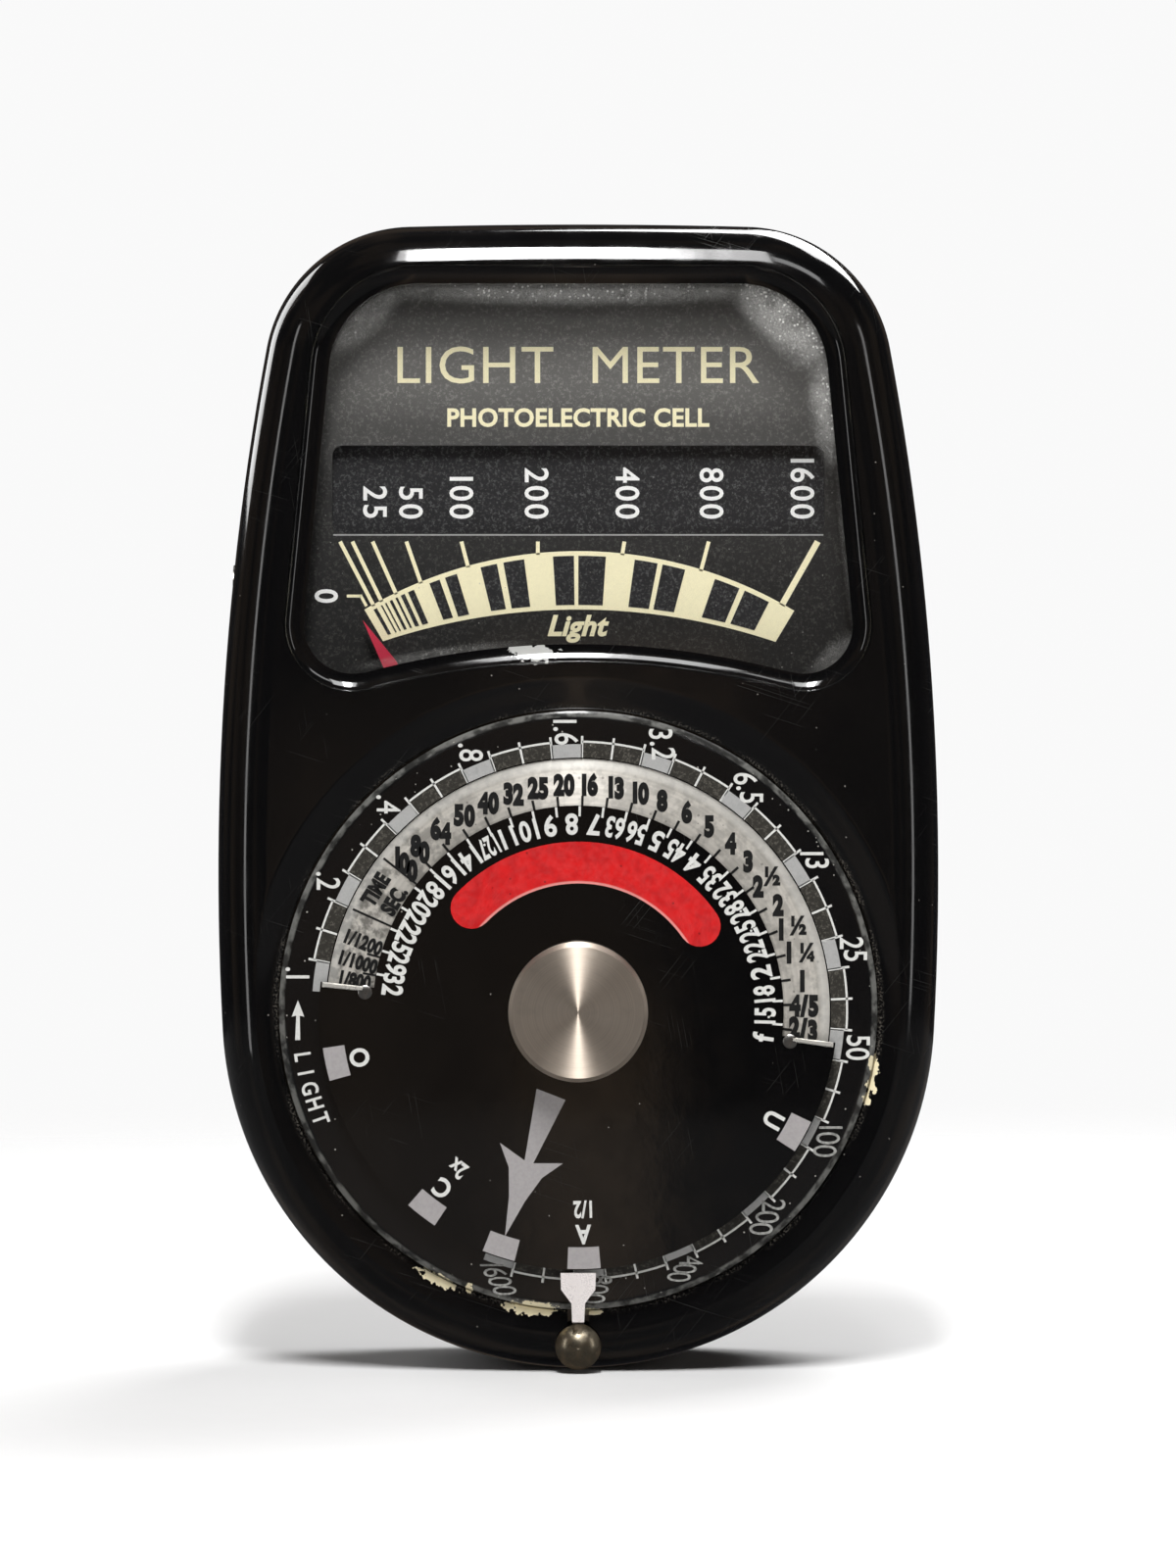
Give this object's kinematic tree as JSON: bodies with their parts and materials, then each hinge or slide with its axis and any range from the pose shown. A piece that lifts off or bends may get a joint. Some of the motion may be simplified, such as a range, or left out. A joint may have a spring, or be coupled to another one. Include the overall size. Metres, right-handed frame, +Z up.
{
  "type": "selenium exposure meter",
  "caption": "Hand-held selenium light meter: black rounded case, windowed needle scale, rotating exposure calculator and a hinged perforated baffle over the rear photocell.",
  "frame": {"origin": "bottom centre of the bounding box: midway across the width and depth, at the lowest point of the round lower end", "axes": "+X to the right as the user reads the dial, -Y out of the face towards the user (+Y out of the back), +Z up towards the light-scale window"},
  "size_m": [0.064, 0.03, 0.1016],
  "materials": {
    "case_enamel": "deep gloss black stove enamel on a metal casting",
    "back_enamel": "gloss black enamel with fine scuffs",
    "baffle_enamel": "satin black enamel, worn at the hole edges",
    "screw_steel": "blackened and worn slotted steel",
    "window_glass": "clear polished flat glass",
    "gasket": "black sealing card",
    "scale_plate": "matte black crackle-fine paint with cream print",
    "number_plate": "matte black with white numerals",
    "plated_steel": "dull zinc plated",
    "needle_red": "red lacquer on aluminium",
    "magnet": "rough cast magnet alloy",
    "soft_iron": "machined soft iron",
    "brass": "drawn brass",
    "coil_wire": "enamelled copper winding on a thin frame",
    "hairspring": "phosphor bronze strip",
    "cell_glass": "moulded honeycomb lens glass",
    "selenium": "grey-violet selenium layer under lacquer",
    "cell_card": "pressed insulating fibre",
    "spring_steel": "spring steel",
    "latch_nickel": "nickel plated, dulled",
    "light_ring": "semi-gloss black with etched grey and white marks",
    "time_ring": "satin silver with black etched numerals",
    "exposure_disc": "gloss black with white and grey print, light scratches",
    "red_arc": "bright red enamel fill",
    "knob_metal": "turned face with fine circular tool marks",
    "tongue_metal": "bright satin",
    "button_nickel": "worn nickel over brass, domed"
  },
  "bodies": {
    "case": {"case_front": "case_enamel", "case_back": "back_enamel", "case_screws": "screw_steel", "window_glass": "window_glass", "window_gasket": "gasket", "dial_plate": "scale_plate", "plate_screws": "screw_steel", "number_rails": "plated_steel", "needle_stops": "plated_steel", "magnet": "magnet", "pole_shoes": "soft_iron", "coil_core": "soft_iron", "core_bracket": "brass", "hairsprings": "hairspring", "movement_base": "brass", "movement_bridge": "brass", "jewel_screws": "brass", "movement_screws": "screw_steel", "cell_glass": "cell_glass", "contact_ring": "brass", "selenium_cell": "selenium", "cell_backing": "cell_card", "cell_retainer": "plated_steel", "cell_screws": "screw_steel", "cell_leads": "hairspring", "hinge_pin": "plated_steel", "hinge_spring": "spring_steel", "latch_spring": "spring_steel", "lever_pin": "plated_steel", "light_ring": "light_ring", "dial_bushing": "brass", "bushing_nut": "brass", "lock_spring": "spring_steel"},
    "calculator_disc": {"exposure_disc": "exposure_disc", "red_arc": "red_arc", "dial_knob": "knob_metal", "dial_spindle": "plated_steel", "spindle_clip": "spring_steel", "wave_washer": "spring_steel"},
    "speed_ring": {"time_ring": "time_ring"},
    "film_lock": {"lock_tongue": "tongue_metal", "lock_button": "button_nickel"},
    "coil": {"moving_coil": "coil_wire", "needle": "needle_red"},
    "zero_corrector": {"zero_screw": "screw_steel"},
    "zero_lever": {"zero_arm": "brass"},
    "baffle": {"baffle_door": "baffle_enamel"},
    "plunger": {"range_plunger": "plated_steel"},
    "lever": {"range_lever": "brass"},
    "number_slide": {"number_plate": "number_plate"},
    "latch": {"latch_button": "latch_nickel"}
  },
  "joints": [
    {"name": "calculator_turn", "type": "hinge", "parent": "case", "child": "calculator_disc", "pos_m": [0, -0.01049, 0.03196], "axis": [0, -1, 0], "continuous": true},
    {"name": "film_speed_turn", "type": "hinge", "parent": "case", "child": "speed_ring", "pos_m": [0, -0.00949, 0.03196], "axis": [0, -1, 0], "continuous": true},
    {"name": "film_lock_press", "type": "slide", "parent": "case", "child": "film_lock", "axis": [0, 1, 0], "range_m": [0, 0.0006], "stiffness_N_per_m": 300, "springref_m": -0.0006, "deforming": ["lock_spring"]},
    {"name": "needle_swing", "type": "hinge", "parent": "case", "child": "coil", "pos_m": [0, 0.00251, 0.03516], "axis": [0, 1, 0], "range_deg": [0, 62], "stiffness_Nm_per_rad": 0.000002, "springref_deg": -28.65},
    {"name": "zero_adjust", "type": "hinge", "parent": "case", "child": "zero_corrector", "pos_m": [0, 0.01351, 0.02636], "axis": [0, -1, 0], "range_deg": [-45, 45]},
    {"name": "zero_arm_turn", "type": "hinge", "parent": "case", "child": "zero_lever", "pos_m": [0, 0.01051, 0.03516], "axis": [0, -1, 0], "range_deg": [-4.2, 4.2]},
    {"name": "baffle_swing", "type": "hinge", "parent": "case", "child": "baffle", "pos_m": [0.0288, 0.01351, 0.05996], "axis": [0, 0, -1], "range_deg": [0, 170]},
    {"name": "plunger_slide", "type": "slide", "parent": "case", "child": "plunger", "axis": [0, 1, 0], "range_m": [0, 0.00232]},
    {"name": "range_lever_turn", "type": "hinge", "parent": "case", "child": "lever", "pos_m": [0.0258, 0.00611, 0.07806], "axis": [1, 0, 0], "range_deg": [0, 57.4]},
    {"name": "number_plate_slide", "type": "slide", "parent": "case", "child": "number_slide", "axis": [0, 0, -1], "range_m": [0, 0.00768]},
    {"name": "latch_press", "type": "slide", "parent": "case", "child": "latch", "axis": [1, 0, 0], "range_m": [0, 0.0008], "stiffness_N_per_m": 250, "springref_m": -0.0006, "deforming": ["latch_spring"]}
  ],
  "couplings": [
    {"joint": "number_plate_slide", "follows": "baffle_swing", "m_per_rad": 0.0025851},
    {"joint": "range_lever_turn", "follows": "baffle_swing", "ratio": 0.33706},
    {"joint": "plunger_slide", "follows": "baffle_swing", "m_per_rad": 0.00077518},
    {"joint": "zero_arm_turn", "follows": "zero_adjust", "ratio": 0.0879}
  ]
}
